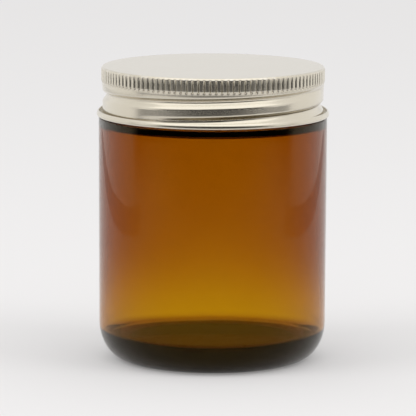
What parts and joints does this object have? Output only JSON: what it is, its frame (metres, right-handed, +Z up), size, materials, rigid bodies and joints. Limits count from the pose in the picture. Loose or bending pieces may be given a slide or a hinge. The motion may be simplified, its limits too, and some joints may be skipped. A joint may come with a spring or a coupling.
{
  "type": "glass apothecary jar",
  "caption": "Straight-sided amber glass jar with a rounded heel and a wide threaded neck, closed by a ribbed screw lid of sheet metal with a flat liner.",
  "frame": {"origin": "on the jar's axis, in the plane that the jar stands on", "axes": "+Z up along the axis of the jar, neck and lid; +X to the right and +Y away when the start of the lid's thread is at the front left"},
  "size_m": [0.0742, 0.0742, 0.0943],
  "materials": {
    "amber_glass": "clear amber soda-lime glass, moulded, glossy",
    "lid_metal": "satin champagne lacquer on tinplate",
    "liner_board": "pressed pulp backing board, matt",
    "liner_facing": "smooth white sealing film"
  },
  "bodies": {
    "jar": {"glass_jar": "amber_glass"},
    "liner": {"liner_board": "liner_board", "liner_facing": "liner_facing"},
    "lid": {"lid_shell": "lid_metal"}
  },
  "joints": [
    {"name": "lid_lift", "type": "slide", "parent": "jar", "child": "liner", "axis": [0, 0, 1], "range_m": [0, 0.00855]},
    {"name": "lid_turn", "type": "hinge", "parent": "liner", "child": "lid", "pos_m": [0, 0, 0], "axis": [0, 0, 1], "range_deg": [0, 540]}
  ],
  "couplings": [
    {"joint": "lid_lift", "follows": "lid_turn", "m_per_rad": 0.00090718}
  ]
}
